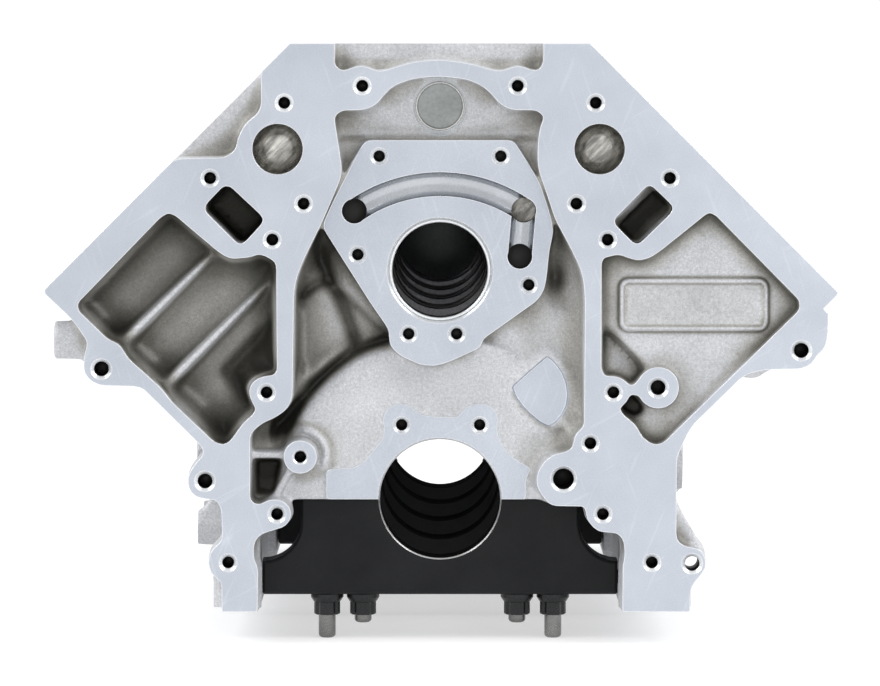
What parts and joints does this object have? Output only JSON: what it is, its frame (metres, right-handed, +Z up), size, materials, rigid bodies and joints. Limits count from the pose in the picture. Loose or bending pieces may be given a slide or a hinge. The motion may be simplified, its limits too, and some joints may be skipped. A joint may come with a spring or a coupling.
{
  "type": "engine block",
  "caption": "Bare aluminium V8 engine block with iron liners, wide steel main caps, open valley, deep skirts and machined joint faces.",
  "frame": {"origin": "crankshaft centreline at the middle of the centre main bearing", "axes": "+X to the right seen from the front, +Y towards the bellhousing end, +Z up"},
  "size_m": [0.4592, 0.528, 0.3466],
  "materials": {
    "block_alloy": "satin",
    "liner_iron": "satin",
    "cap_steel": "satin",
    "bearing_shell": "satin",
    "black_fastener": "satin",
    "plug_steel": "satin"
  },
  "bodies": {
    "root": {"block_casting": "block_alloy", "liner_1": "liner_iron", "liner_2": "liner_iron", "liner_3": "liner_iron", "liner_4": "liner_iron", "liner_5": "liner_iron", "liner_6": "liner_iron", "liner_7": "liner_iron", "liner_8": "liner_iron", "main_cap_1": "cap_steel", "main_cap_2": "cap_steel", "main_cap_3": "cap_steel", "main_cap_4": "cap_steel", "main_cap_5": "cap_steel", "cam_bearing_1": "bearing_shell", "cam_bearing_2": "bearing_shell", "cam_bearing_3": "bearing_shell", "cam_bearing_4": "bearing_shell", "cam_bearing_5": "bearing_shell", "main_studs_inner": "black_fastener", "main_studs_outer": "black_fastener", "stud_nuts_inner": "black_fastener", "stud_nuts_outer": "black_fastener", "cap_side_bolts": "black_fastener", "valley_cup_plug": "plug_steel", "core_plugs_left": "plug_steel", "core_plugs_right": "plug_steel", "cam_rear_plug": "plug_steel", "gallery_plugs": "black_fastener", "bell_dowels": "plug_steel"}
  },
  "joints": []
}
